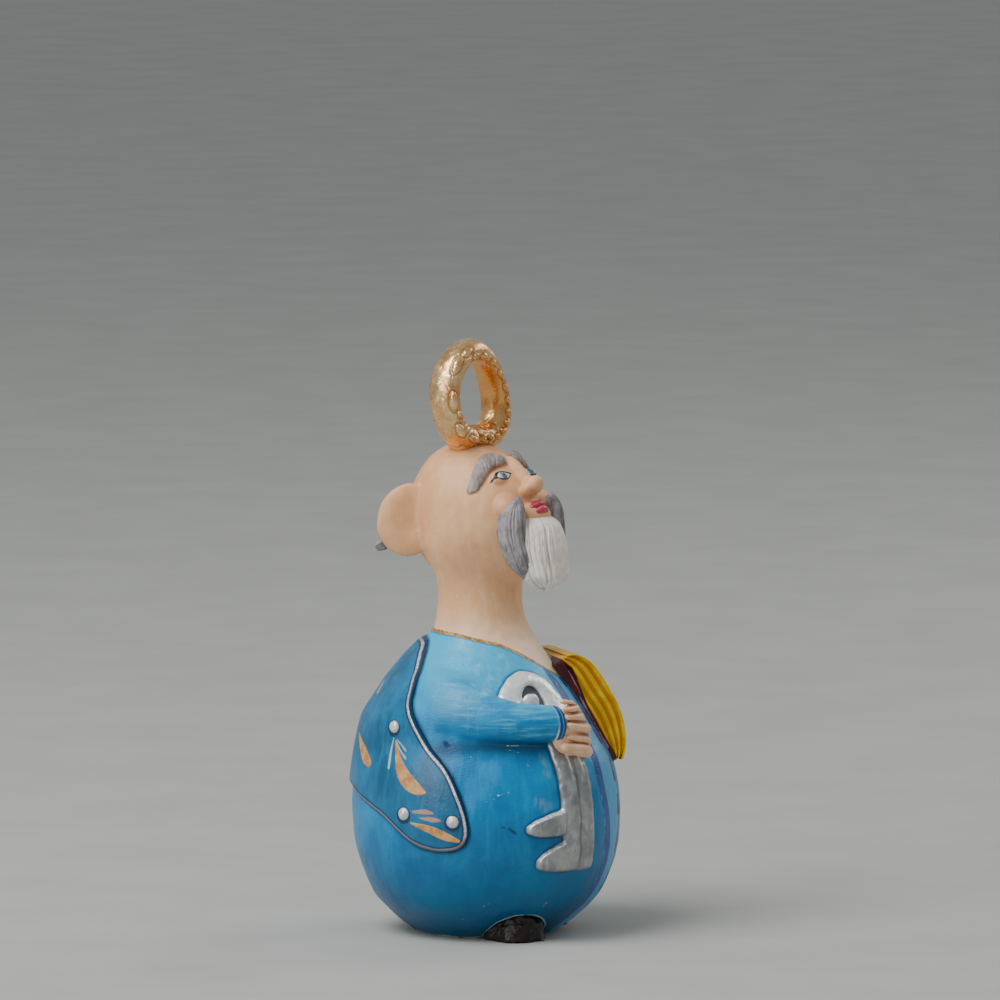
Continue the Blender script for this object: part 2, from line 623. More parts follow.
def skullForm():
    # an egg with a deeper back than front that narrows towards the chin with the square of the drop
    turn, polar = loop(120)[None], (np.pi * stations(90, False))[:, None]
    up = -np.cos(polar)
    narrow = 1 - head["chinNarrowing"] * np.maximum(-up, 0) ** 2
    shallow = 1 - head["chinShallower"] * np.maximum(-up, 0) ** 2
    depth = np.where(np.cos(turn) > 0, head["front"] * shallow, head["back"])
    return loft(inHead(head["side"] * np.sin(turn) * np.sin(polar) * narrow,
                       depth * np.cos(turn) * np.sin(polar),
                       np.where(up > 0, head["up"], head["down"]) * up + 0 * turn) - upward * head["drop"])


ear = {"side": 9.5, "forward": -10.9, "z": 83.4, "splay": [0.62, 0.785],
       "wide": 6.7, "tall": 7.5, "thick": 1.6, "dish": 0.8, "dishSize": 0.6, "slope": 0.6, "off": 0.4}


def earForm(side):
    # a disc standing off the back of the head: a flat egg whose outer face is dished by a bell curve
    across, away = ear["splay"]
    outward = headSide * across * side - forwardFlat * away
    facing = headSide * away * side + forwardFlat * across
    turn, polar = ballGrid(80, 60)
    rho = np.sin(polar)
    dish = np.where(np.cos(polar) < 0, ear["dish"] * np.exp(-((rho / ear["dishSize"]) ** 2)), 0)
    return loft(level(ear["side"] * side, ear["forward"], ear["z"])
                + outward * (ear["wide"] * rho * np.cos(turn) + ear["off"])
                + upward * (ear["tall"] * rho * np.sin(turn) - ear["slope"] * rho * np.cos(turn))
                + facing * (-ear["thick"] * np.cos(polar) - dish))


def neckForm():
    # rings on the body's outline, sunk a little under it, up into the head
    z = np.linspace(45, 88, 90)[:, None]
    turn = np.degrees(loop(160))[None]
    return loft(around(turn, z, bodyRadius(turn, z) - 0.32))


face = {
    "bridge": [0, 12.2, -0.4, 1.35, 2, 4.8], "tip": [0, 13.3, -4.2, 2, 2.3, 1.7],
    "nostril": [1.9, 12.4, -4.4, 1, 1.3, 1], "eye": [4.6, 10.9, 0.2, 2.5, 1.5, 1.5],
    "cheek": [5.4, 8.9, -5.4, 3.2, 2.4, 3], "mouth": [0, 9.9, -8.6, 4, 1.9, 2.6],
    "upperLip": [0, 11.0, -7.9, 3.2, 1.6, 0.85], "lowerLip": [0, 10.9, -9.1, 2.7, 1.6, 0.95],
    "eyeHalf": [2.35, 1.2], "iris": 0.98, "pupil": 0.5, "lidLine": 0.2,
    "brow": {"near": 1.4, "far": 10.4, "lift": 3.5, "bow": 1.9, "drop": 2.2, "proud": 1.05, "half": 1.85},
}


def skinPaint():
    # warm skin colour, then blush, eyes, lid lines and the gold of the neckline
    b = Board("skinPaint", {"Specular IOR Level": 0.45, "Coat Weight": 0.08, "Coat Roughness": 0.3})
    wobble = b.noise(1.2, 2) * 0.24 - 0.12
    cloud = b.noise(7, 3)
    strokes = b.noise(1.4, 3, (1.5, 1.5, 6), (0.3, 0.2, 0), 0.4)
    fine = b.noise(0.45, 3)
    b.colour = b.mix(cloud.rise(0.3, 0.7), tint(232, 170, 118), tint(240, 186, 136))
    b.over(strokes.rise(0.45, 0.8) * 0.3, tint(252, 216, 176))
    b.over(b.field("low") * 0.75, tint(255, 228, 198))
    b.over(b.noise(3.4, 3).rise(0.52, 0.75) * 0.12, tint(214, 138, 98))
    b.over(b.field("blush") * 0.4, tint(214, 132, 108))
    b.over(b.field("crease") * 0.5, tint(158, 104, 78))
    worn = b.field("worn") * b.noise(1.1, 4, (1, 1, 2)).rise(0.48, 0.64)
    b.over(worn * 0.2, tint(244, 234, 222))
    speck = b.noise(0.8, 1).rise(0.76, 0.8)
    b.over(speck * 0.5, tint(240, 226, 190))
    eye = b.field("eye") + wobble * 0.4
    inside = eye.rise(-0.03, 0.03)
    b.over(inside, tint(206, 216, 226))
    iris = b.field("iris") + wobble * 0.3
    b.over(iris.rise(-0.04, 0.04) * inside, tint(70, 104, 130))
    b.over((b.field("pupil") + wobble * 0.2).rise(-0.04, 0.04) * inside, tint(10, 10, 14))
    b.over(b.field("spark").rise(-0.04, 0.04) * inside, tint(240, 244, 246))
    lid = (b.field("lid") + wobble * 0.3).rise(-0.04, 0.04)
    b.over(lid, tint(24, 14, 14))
    neck = b.field("neckGap") + wobble * 0.6
    gold = neck.fall(0.3, 0.44)
    b.over(gold, b.mix(b.noise(0.9, 2).rise(0.4, 0.6), tint(150, 104, 44), tint(206, 164, 92)))
    return b.finish(0.42 + strokes * 0.14, strokes * 0.6 + fine * 0.3 + cloud * 0.3, 0.2)


forms = [neckForm(), skullForm(), earForm(-1), earForm(1), inFace(*face["bridge"]), inFace(*face["tip"]),
         inFace(*face["mouth"])]
for side in (-1, 1):
    forms += [inFace(side * face[k][0], *face[k][1:]) for k in ("nostril", "eye", "cheek")]
headMesh = fused("head", forms, head["voxel"], head["rounds"])
p = handMade(headMesh, (0.09, 8, 11), (0.03, 2.6, 12))
local = np.stack([(p - headMiddle) @ headSide, (p - headMiddle) @ headFront, (p - headMiddle) @ headUp], -1)
ahead = local[:, 1] > 5
across, rise = np.abs(local[:, 0]) - face["eye"][0], local[:, 2] - face["eye"][2]
halfWide, halfHigh = face["eyeHalf"]
arch = halfHigh * (1 - (across / halfWide) ** 2)
steep = np.hypot(1, 1.6 * halfHigh * across / halfWide**2)
eyeIn = np.where(ahead, arch * np.where(rise > 0, 1.0, 0.82) - np.abs(rise), -50) / steep
field(headMesh, eye=eyeIn)
lid = face["lidLine"] * np.where(rise > 0, 1.25, 0.7) - np.abs(eyeIn)
field(headMesh, lid=np.minimum(lid, (halfWide + 0.3 - np.abs(across)) * 0.8))
centreGap = np.hypot(across, rise - 0.05)
field(headMesh, iris=np.where(ahead, face["iris"] - centreGap, -50))
field(headMesh, pupil=np.where(ahead, face["pupil"] - centreGap, -50))
field(headMesh, spark=np.where(ahead, 0.2 - np.hypot(across - 0.25, rise - 0.35), -50))
onCheek = np.column_stack([(np.abs(local[:, 0]) - 6.2) / 2.6, (local[:, 2] + 4.6) / 2.4])
field(headMesh, blush=bell(onCheek, 1) * ahead)
field(headMesh, low=np.clip((66 - p[:, 2]) / 9, 0, 1))
besideNose = np.column_stack([np.abs(local[:, 0]) - 1.2, local[:, 1] - 13.4, local[:, 2] + 5.6])
besideEar = np.column_stack([np.abs(local[:, 0]) - 8.6, (p - headMiddle) @ forwardFlat + 6.4, p[:, 2] - 82.6])
field(headMesh, crease=np.clip(bell(besideNose, 0.7)
                                  + 0.22 * bell(besideEar, [2.6, 2.6, 5]) * (local[:, 1] < 2), 0, 1))
field(headMesh, worn=np.clip(bell(p - onBody(52, 64), [3, 3, 5])
                                + 0.8 * bell(p - onBody(70, 70), [2, 2, 3]), 0, 1))
field(headMesh, neckGap=-strokeField(p, onBody(allRound, necklineZ(allRound), -0.2), noWidth))
place("head", headMesh, skinPaint())


def lipPaint():
    # two reds mixed by a grain
    b = Board("lipPaint", {"Specular IOR Level": 0.5, "Coat Weight": 0.15})
    grain = b.noise(0.9, 3)
    b.colour = b.mix(grain.rise(0.35, 0.65), tint(176, 44, 66), tint(206, 78, 92))
    return b.finish(0.34 + grain * 0.12, grain, 0.12)


def lipForm(row, bow):
    # half an egg drawn out to the corners, its edge dipping in the middle of the upper lip
    side, front, up, halfSide, halfFront, halfUp = row
    turn, share = loop(48)[None], stations(60)[:, None] * 2 - 1
    thick = np.sqrt(np.maximum(1 - np.abs(share) ** 2.2, 0))
    dip = bow * (np.exp(-((np.abs(share) - 0.26) / 0.2) ** 2) - 0.9 * np.exp(-((share / 0.14) ** 2)))
    high = np.sin(turn) * (halfUp + dip * (np.sin(turn) > 0))
    return loft(inHead(side + halfSide * share + 0 * turn,
                       front - 0.9 * share**2 + halfFront * thick * np.cos(turn),
                       up - 0.25 * share**2 + thick * high))


place("lips", meshOf("lips", [lipForm(face["upperLip"], 0.42), lipForm(face["lowerLip"], 0)]), lipPaint())


# grey hair: brows, beard, side locks and the tufts behind the ears

def hairPaint(name, dark, pale, groove):
    # dark to pale by cloudy noise, long streaks up and down, darker in the grooves
    b = Board(name, {"Specular IOR Level": 0.4})
    cloud = b.noise(2.6, 3)
    strand = b.noise(0.5, 3, (1, 1, 9))
    b.colour = b.mix(cloud.rise(0.35, 0.65), tint(*dark), tint(*pale))
    b.over(strand.rise(0.48, 0.72) * 0.5, tint(*[min(c + 26, 255) for c in pale]))
    b.over(b.noise(0.42, 2, (1, 1, 12)).rise(0.58, 0.7) * 0.5, tint(*groove))
    sunk = (b.field("groove") + b.noise(1.3, 2) * 0.3 - 0.15).rise(0.25, 0.95)
    b.over(sunk * 0.7, tint(*groove))
    return b.finish(0.46 + cloud * 0.14, strand * 0.7 + cloud * 0.3, 0.26)


beard = {  # z, forward distance, half width, half depth
    "chin": [[70.3, 15.3, 4.4, 3.2], [72, 15.4, 5.5, 3.9], [75, 15, 6.2, 4.3], [80, 14, 6.6, 4.6],
             [85.6, 12.4, 5.6, 3.8]],
    "locks": 27, "deep": 0.45,
    # z, forward distance, sideways distance, half width, half depth
    "cheek": [[72.4, 14, 4.5, 2.2, 2.1], [76, 13.2, 5.5, 2.8, 2.8], [81.5, 11.9, 6.6, 3, 3.1],
              [86, 12, 6.4, 2.5, 2.7], [89.2, 12.8, 5.6, 1.6, 1.6]],
}


def strands(turn, z, count, seed):
    # grooves between locks: a sharp-bottomed wave round the form, its phase wandering with height and
    # its depth changing from groove to groove, with a finer wave over it
    wander = 0.55 * np.sin(z / 3.4 + seed) + 0.35 * np.sin(z / 1.5 + 2.1 * seed + turn)
    phase = 0.5 * count * turn + wander + 0.9 * np.sin(2 * turn + seed) + 0.5 * np.sin(5 * turn + 2 * seed)
    depth = 0.6 + 0.4 * np.sin(0.31 * count * turn + seed + z / 5)
    fine = 1 - np.abs(np.sin(2.3 * phase + 1.7 * wander)) ** 0.6
    return np.clip(depth * (1 - np.abs(np.sin(phase)) ** 0.5) + 0.35 * fine * depth, 0, 1)


def chinForm():
    # ovals stacked up the rows of the table, cut by the grooves, rounded off at both ends
    turn, v = loop(280)[None], stations(96)[:, None]
    z = mix(beard["chin"][0][0], beard["chin"][-1][0], v) + 0 * turn
    close = rounded(v, 0.2)
    groove = strands(turn, z, beard["locks"], 1)
    cut = beard["deep"] * groove * close
    deep = (smoothRows(beard["chin"], z, 3) - cut) * close * np.cos(turn)
    wide = (smoothRows(beard["chin"], z, 2) - cut) * close * np.sin(turn)
    tip = 0.5 * np.cos(5 * turn + 1) * np.clip(1 - v / 0.2, 0, 1)
    q = level(wide, smoothRows(beard["chin"], z) + deep, z + tip)
    return loft(q), groove


def cheekForm(side):
    # the same for the lock beside the beard, its ovals set sideways by the table
    turn, v = loop(150)[None], stations(76)[:, None]
    z = mix(beard["cheek"][0][0], beard["cheek"][-1][0], v) + 0 * turn
    close = rounded(v, 0.24)
    groove = strands(turn * side, z, 19, 4)
    cut = 0.45 * groove * close
    deep = (smoothRows(beard["cheek"], z, 4) - cut) * close * np.cos(turn)
    wide = (smoothRows(beard["cheek"], z, 3) - cut) * close * np.sin(turn)
    q = level(side * (smoothRows(beard["cheek"], z, 2) + wide), smoothRows(beard["cheek"], z) + deep, z)
    return loft(q), groove


def browForm(side):
    # a round ridge laid along the brow arch on the skull's front, cut by slanting grooves
    k = face["brow"]
    turn, v = loop(50)[None], stations(130)[:, None]
    reach = mix(k["near"], k["far"], v)
    lift = k["lift"] + k["bow"] * np.sin(np.pi * np.minimum(v * 1.1, 1)) - k["drop"] * v
    share = (reach / head["side"]) ** 2 + (lift / head["up"]) ** 2
    onSkull = head["front"] * np.sqrt(np.maximum(1 - share, 0))
    thick = rounded(v, 0.42)
    slant = 31 * v + 1.6 * np.sin(turn) + 0.7 * np.sin(9 * v)
    groove = (1 - np.abs(np.sin(slant)) ** 0.45) * (0.6 + 0.4 * np.sin(23 * v))
    size = thick * (1 - 0.2 * groove)
    q = inHead(side * (reach + 0 * turn), onSkull + k["proud"] * size * np.cos(turn),
               lift + k["half"] * size * np.sin(turn))
    return loft(q), groove


tuft = {"root": [8.2, -12.1, 81], "tip": [11.6, -18.5, 77.6], "thick": 1.7, "pinch": 0.12, "flat": 0.7}


def tuftForm(side):
    # a roll from behind the ear outwards, its section pinched by a sine into six lobes
    turn, v = loop(60)[None, :, None], stations(40)[:, None, None]
    thick = tuft["thick"] * rounded(v, 0.3) * (1 - tuft["pinch"] * np.abs(np.sin(3 * turn)))
    q = mix(*(level(tuft[end][0] * side, *tuft[end][1:]) for end in ("root", "tip")), v)
    q = q + headSide * tuft["flat"] * thick * np.cos(turn) + upward * thick * np.sin(turn)
    groove = 1 - np.abs(np.sin(3 * turn[..., 0])) ** 0.5 + 0 * v[..., 0]
    return loft(q), groove


def hairPiece(name, made, paint):
    # joins forms with their groove depths, the two poles of each a little grooved
    mesh = meshOf(name, [form for form, groove in made])
    field(mesh, groove=np.concatenate([np.append(groove, [0.3, 0.3]) for form, groove in made]))
    place(name, mesh, paint)


lilacGrey = hairPaint("lilacGrey", (124, 118, 119), (166, 160, 162), (84, 76, 80))
silverGrey = hairPaint("silverGrey", (244, 228, 214), (255, 248, 240), (156, 140, 130))
hairPiece("beard", [chinForm()], silverGrey)
hairPiece("sideLocks", [cheekForm(-1), cheekForm(1)], lilacGrey)
hairPiece("brows", [browForm(-1), browForm(1)],
          hairPaint("browGrey", (136, 122, 118), (172, 158, 152), (108, 90, 84)))
hairPiece("tufts", [tuftForm(-1), tuftForm(1)], lilacGrey)


# halo

halo = {
    "radius": 8.8, "tube": 2.3, "deep": 3.45, "forward": -3.2, "z": 108.7, "droop": 4,
    # turn round the ring and round the tube, half length, half width, height
    "bosses": [[-68, 74, 1.2, 0.8, 0.5], [-43, 60, 1.5, 0.95, 0.5], [-22, 84, 0.8, 0.6, 0.4],
               [-4, 62, 1.75, 0.95, 0.5], [39, 49, 1.8, 0.95, 0.5], [61, 56, 1.3, 0.9, 0.5],
               [71, 100, 1.1, 0.8, 0.5], [94, 116, 1.3, 0.75, 0.5], [117, 112, 1, 0.7, 0.5],
               [136, 106, 0.95, 0.65, 0.5], [153, 102, 0.9, 0.65, 0.5], [169, 100, 0.9, 0.65, 0.5],
               [185, 98, 1, 0.65, 0.5], [202, 98, 0.9, 0.65, 0.5], [219, 96, 1, 0.7, 0.5],
               [237, 94, 0.9, 0.7, 0.45], [255, 92, 0.9, 0.75, 0.5], [273, 86, 0.95, 0.8, 0.5]],
    "foot": {"side": 2.4, "wide": 3.4, "deep": 2.9, "high": 3.1, "lift": 1.6},
}


def haloDroop(side):
    # how far the ring hangs on its left, by the power 1.5 of the distance from the middle
    return halo["droop"] * (np.maximum(-side, 0) / halo["radius"]) ** 1.5


def haloForms():
    # a ring whose tube is dented by sine waves, most of all on its lower limbs; each boss adds a dome, the
    # root of 1 minus the squared distance
    turn, tube = loop(400)[:, None], loop(136)[None]
    side, up = np.cos(turn), np.sin(turn)
    out = halo["radius"] + halo["tube"] * np.cos(tube)
    q = level(out * side, halo["forward"] + halo["deep"] * np.sin(tube),
              halo["z"] + out * up - haloDroop(out * side))
    across = headSide * side[..., None] + upward * up[..., None]
    ray = (across * np.cos(tube)[..., None] * halo["deep"]
           + forwardFlat * np.sin(tube)[..., None] * halo["tube"])
    ray /= np.linalg.norm(ray, axis=2, keepdims=True)
    low = np.clip(-0.3 - up, 0, 0.7) / 0.7
    crease = 1 - np.abs(np.sin(13 * turn + 1.6 * np.sin(tube) + 2.6 * np.sin(4 * turn + 2 * tube))) ** 0.5
    crack = np.clip(0.12 - np.abs(lumps(q, 3, 27) - 0.1), 0, 0.12) * 2.5 * np.clip(0.6 + side, 0, 1)
    dent = (0.1 * lumps(q, 7, 21) + 0.05 * lumps(q, 2.4, 24) - 0.3 * crack
            + low * (0.12 * lumps(q, 2.4, 22) - 0.26 * crease))
    flare = 0.75 * np.exp(-(((np.arctan2(np.sin(turn + 1.2), np.cos(turn + 1.2))) / 0.42) ** 2))
    dent = dent + flare * np.maximum(np.cos(tube), 0)
    boss, ringed = 0 * dent, 0 * dent
    for at, way, long, wide, high in halo["bosses"]:
        at, way = math.radians(at), math.radians(way)
        alongGap = np.arctan2(np.sin(turn - at), np.cos(turn - at)) * halo["radius"] / long
        acrossGap = np.arctan2(np.sin(tube - way), np.cos(tube - way)) * halo["deep"] * 0.85 / wide
        away = np.hypot(alongGap, acrossGap)
        boss = np.maximum(boss, 1.3 * high * np.sqrt(np.maximum(1 - away**2, 0)))
        ringed = np.maximum(ringed, np.exp(-((away - 1.16) / 0.16) ** 2))
    q = q + ray * (dent + boss - 0.16 * ringed)[..., None]
    f = halo["foot"]
    base = egg(level(f["side"], halo["forward"], halo["z"] - halo["radius"] - halo["tube"] + f["lift"]),
               headSide * f["wide"], forwardFlat * f["deep"], upward * f["high"])
    sunk = np.clip(0.7 * low * crease + 0.6 * ringed + 0.5 * crack, 0, 1)
    inner = (np.clip(-np.cos(tube) * 1.5 - 0.15, 0, 1) * np.clip(0.4 - side, 0, 1)
             * np.clip(up * 2 + 1, 0.2, 1)
             + 4 * np.clip(-up - 0.72, 0, 0.2) * np.clip(1.4 * np.cos(tube), 0, 1))
    return ([loft(q, ring=True), base], np.append(sunk.ravel(), np.full(len(base[0]), 0.2)),
            np.append(inner.ravel(), np.full(len(base[0]), 0.3)))


def goldPaint():
    # metal, redder on the inside of the ring and brown in its dents
    b = Board("goldPaint", {"Specular IOR Level": 0.5})
    cloud = b.noise(3.5, 3)
    grain = b.noise(0.9, 3)
    b.colour = b.mix(cloud.rise(0.35, 0.68), tint(226, 170, 106), tint(250, 210, 152))
    b.over(grain.rise(0.52, 0.76) * 0.5, tint(255, 240, 205))
    b.over(b.field("inner") * 0.8, tint(224, 156, 80))
    b.over(b.field("sunk") * 0.8, tint(132, 72, 24))
    b.over(b.noise(1.6, 3).rise(0.68, 0.8) * 0.3, tint(160, 98, 46))
    return b.finish(0.2 + grain * 0.16, cloud * 0.6 + grain * 0.4, 0.2, 0.9 - grain.rise(0.5, 0.8) * 0.2)


forms, sunk, inner = haloForms()
haloMesh = meshOf("halo", forms)
field(haloMesh, sunk=sunk)
field(haloMesh, inner=inner)
place("halo", haloMesh, goldPaint())


# mantle on the back, with its trim, studs and painted leaves

mantle = {
    "thick": 0.95, "root": 1.2, "edge": 0.85, "narrow": 106.8,
    "upper": [[73.2, 24.4], [74.2, 26.8], [77, 30.4], [82.3, 35.2], [92.7, 40], [99.5, 44.2], [104.8, 47.8],
              [108, 51], [114, 54.2], [127, 57.9], [141, 59.4], [180, 59.6]],
    "lower": [[73.2, 22.6], [74.2, 21.1], [76.6, 19.9], [81, 19.1], [89, 19], [99, 20.4], [117.5, 25.9],
              [156, 30.6], [180, 31.6]],
    "stud": 1.35, "studs": [[112.6, 43.3], [102.2, 26.4], [79.8, 25.4]],
    "silver": [[[112.2, 41.4, 0.12], [112.8, 38.6, 0.24], [112.4, 35.2, 0.3]],
               [[110.6, 41.2, 0.1], [106.4, 39.8, 0.2], [104.2, 38.9, 0.22]],
               [[111, 41, 0.1], [106.8, 38.6, 0.2], [103.6, 37.4, 0.24]]],
    "gold": [[[110.8, 41, 0.12], [107.8, 37.2, 0.75], [102.6, 33.6, 1.5], [96.4, 31.6, 1.2],
              [92.2, 31, 0.25]],
             [[146.5, 40.8, 0.1], [140, 39, 0.75], [131.5, 36.6, 1.25], [127, 35.4, 0.8]],
             [[98.4, 24.7, 0.2], [90, 23.7, 0.75], [83, 22.4, 0.85], [76.6, 21.4, 0.25]]],
    "dull": [[[97.6, 27, 0.25], [92, 27.2, 0.5], [88.4, 27, 0.25]],
             [[94, 25.9, 0.2], [89, 25.7, 0.5], [85.2, 25.6, 0.25]], [[149.5, 50.6, 0.5], [145.5, 49, 0.7]]],
    "backStud": (180.4, 43.3), "backTurn": 68,  # the first stud's leaves come again, turned this far
}


def backRadius(phi, z):
    # what the mantle lies on: the body, or the root of a sleeve where that stands further out
    phi = (np.asarray(phi) + 540) % 360 - 180
    arm = np.where(phi > 0, sleeveOut(np.abs(phi), z, 0), sleeveOut(np.abs(phi), z, sleeve["leftReach"]))
    bare = bodyRadius(phi, z)
    return np.where(arm > 0, softMax(bare, arm, 1.6), bare)


def mantleEdges(phi):
    # heights of the lower and the upper edge, the same on both sides
    away = np.minimum(phi, 360 - phi)
    return smoothRows(mantle["lower"], away), smoothRows(mantle["upper"], away)


def mantleForm():
    # the strip between its two edges laid on the back, its rim rounded off over edge mm, its root sunk in
    a = np.linspace(-1, 1, 460)[:, None]
    phi = 180 + mantle["narrow"] * np.sin(0.5 * np.pi * a)
    s = np.linspace(-1, 1, 98)
    b = np.concatenate([np.sign(s) * (1 - (1 - np.abs(s)) ** 1.7), [1, 0.4, -0.4, -1]])[None]
    low, high = mantleEdges(phi)
    z = mix(low, high, (b + 1) / 2)
    rim = np.minimum((1 - np.abs(b)) * (high - low) * 0.36, 60) + 0 * phi
    thick = mantle["thick"] * np.sqrt(1 - (1 - np.clip(rim / mantle["edge"], 0, 1)) ** 2)
    thick[:, -4:] = -mantle["root"]
    return loft(around(phi + 0 * b, z, backRadius(phi, z) + thick))


def mantlePaint():
    # deep blue under streaks, leaves in gold and silver, then the trim along the rim
    b = Board("mantlePaint", {"Specular IOR Level": 0.5, "Coat Weight": 0.12, "Coat Roughness": 0.22})
    wobble = b.noise(1.3, 2) * 0.4 - 0.2
    strokes = b.noise(1.3, 3, (1.4, 1.4, 6), (0.25, 0.3, 0), 0.5)
    cloud = b.noise(8, 3)
    b.colour = b.mix(cloud.rise(0.3, 0.7), tint(0, 88, 126), tint(0, 118, 166))
    b.over(strokes.rise(0.42, 0.75) * 0.34, tint(20, 146, 198))
    b.over(b.noise(0.6, 3).rise(0.6, 0.8) * 0.3, tint(0, 54, 96))
    b.over(b.field("low") * 0.4, tint(0, 58, 98))
    silver = (b.field("silver") + wobble * 0.3).rise(-0.05, 0.06)
    gold = (b.field("gold") + wobble * 0.5).rise(-0.06, 0.08)
    dull = (b.field("dull") + wobble * 0.6).rise(-0.1, 0.12)
    fleck = b.noise(0.5, 3)
    b.over(dull * 0.8, tint(196, 152, 120))
    goldTone = b.mix(b.noise(1.8, 2).rise(0.35, 0.65), tint(196, 130, 62), tint(228, 172, 104))
    b.over(gold * (0.82 + fleck * 0.22), goldTone)
    b.over(silver * 0.85, tint(206, 204, 202))
    ring = b.field("ring") + wobble * 0.5  # above 0 round each stud
    b.over(ring.rise(-0.1, 0.2) * 0.85, tint(0, 36, 76))
    edge = b.field("edge") + wobble * 0.25  # mm in from the rim
    front = b.field("front")  # 1 on the front edge, 0 on the lower one
    b.over(edge.fall(1.15, 1.4) * 0.9, tint(0, 44, 80))
    line = edge.rise(0.28, 0.42) * edge.fall(0.8, 0.98)
    silvered = b.mix(fleck.rise(0.4, 0.62), tint(190, 198, 206), tint(240, 242, 242))
    trim = b.mix(front, tint(120, 122, 134), silvered)
    b.over(line * (0.75 + fleck * 0.3), trim)
    relief = strokes * 0.6 + fleck * 0.3 + line * 0.9 + gold * 0.4
    return b.finish(0.3 + strokes * 0.16, relief, 0.22, line * front * 0.5)


def studPaint():
    # silver grey, dark blue round the foot
    b = Board("studPaint", {"Specular IOR Level": 0.5})
    grain = b.noise(0.7, 3)
    b.colour = b.mix(grain.rise(0.35, 0.65), tint(206, 212, 216), tint(244, 244, 242))
    b.over(b.field("foot"), tint(20, 44, 86))
    return b.finish(0.2 + grain * 0.16, grain, 0.12, 0.3)


def studForm(phi, z, rise):
    # a flattened dome, its loops about the outward direction; foot is 1 round its lowest edge
    centre = around(phi, z, backRadius(phi, z) + rise)
    outward, across = around(phi, 0, 1), around(phi + 90, 0, 1)
    turn, polar = ballGrid(36, 26)
    r = mantle["stud"]
    q = (centre - outward * 0.85 * r * np.cos(polar) + across * r * np.sin(polar) * np.cos(turn)
         + upward * r * np.sin(polar) * np.sin(turn))
    q = q + outward * 0.06 * lumps(q, 1.6, int(abs(phi) * 7))[..., None]
    foot = np.clip(1 - (-np.cos(polar[..., 0]) - 0.02) / 0.28, 0, 1) + 0 * turn[..., 0]
    return loft(q), np.append(foot.ravel(), [1, 0])


mantleMesh = meshOf("mantle", [mantleForm()])
p = handMade(mantleMesh, (0.07, 9, 31), (0.03, 3, 32))
phi, z = phiOf(p), p[:, 2]
flat = onBody(phi, z)
back = around(phi - mantle["backTurn"], z, bodyRadius(phi, z))
for name in ("silver", "gold", "dull"):
    strokes = mantle[name]
    again = strokes[:{"silver": 3, "gold": 1, "dull": 0}[name]]
    inside = [brushAll(flat, strokes), brushAll(flat * [-1, 1, 1], strokes), brushAll(back, again)]
    field(mantleMesh, **{name: np.max(inside, 0)})
studs = [(side * a, h) for a, h in mantle["studs"] for side in (1, -1)] + [mantle["backStud"]]
endTurn = mantle["lower"][0][0]  # where the mantle ends on the right; the left end mirrors it
rimTurn = np.linspace(endTurn, 360 - endTurn, 2600)
low, high = mantleEdges(rimTurn)
tipLine = np.linspace(mantle["lower"][0][1], mantle["upper"][0][1], 60)
tips = np.vstack([onBody(a, tipLine) for a in (endTurn, 360 - endTurn)])
lowGap, highGap, tipGap = (-strokeField(flat, line, np.zeros(len(line)))
                           for line in (onBody(rimTurn, low), onBody(rimTurn, high), tips))
field(mantleMesh, edge=np.minimum(np.minimum(lowGap, highGap), tipGap))
field(mantleMesh, front=np.clip((lowGap - np.minimum(highGap, tipGap)) / 1.2 + 0.5, 0, 1)
      * np.clip((150 - np.abs(phi)) / 14, 0.25, 1))
ring = [mantle["stud"] + 0.42 - np.linalg.norm(flat - onBody(a, h - 0.25), axis=1) for a, h in studs]
field(mantleMesh, ring=np.max(ring, 0))
field(mantleMesh, low=np.clip((34 - z) / 12, 0, 1))
place("mantle", mantleMesh, mantlePaint())
robeSpots = pointsOf(robeMesh)
rim = np.vstack([onBody(rimTurn[::4], mix(low[::4], high[::4], s)) for s in (0, 1)] + [tips[::2]])
field(robeMesh, mantleGap=gapTo(robeSpots, rim, 1.5))
made = [studForm(a, h, 0.5) for a, h in studs]
studMesh = meshOf("studs", [form for form, foot in made])
field(studMesh, foot=np.concatenate([foot for form, foot in made]))
place("studs", studMesh, studPaint())


# hands

hands = {
    "along": 4.7, "up": 5.5, "out": 1.4, "proud": 1.75, "slope": 0.5, "slant": 0.38,
    "voxel": 0.15, "rounds": 2,
    "places": [[1, 23, 43.1, 25.2], [-1, 57, 43.1, 26.3]],
    # root turn and height from the hand's place, tip turn and height, half width; the last is the palm's edge
    "fingers": [[8.3, 5.8, -0.9, 5.1, 0.62], [7.3, 4.4, -3.6, 3.9, 0.8], [7, 2.8, -7, 2.1, 0.84],
                [6.4, 1, -11, -0.3, 1.02], [5.8, -1.1, -12.2, -3.2, 0.84], [8.9, -3.4, -11.6, -4.9, 1.6]],
}


def fingerRise(up, v):
    # how far a finger's middle line stands out: less towards its tip and towards the fan's edges
    full = np.sqrt(np.maximum(1 - 0.7 * (up / hands["up"]) ** 2, 0.05))
    return hands["proud"] * full * (0.9 - 0.9 * v**3)


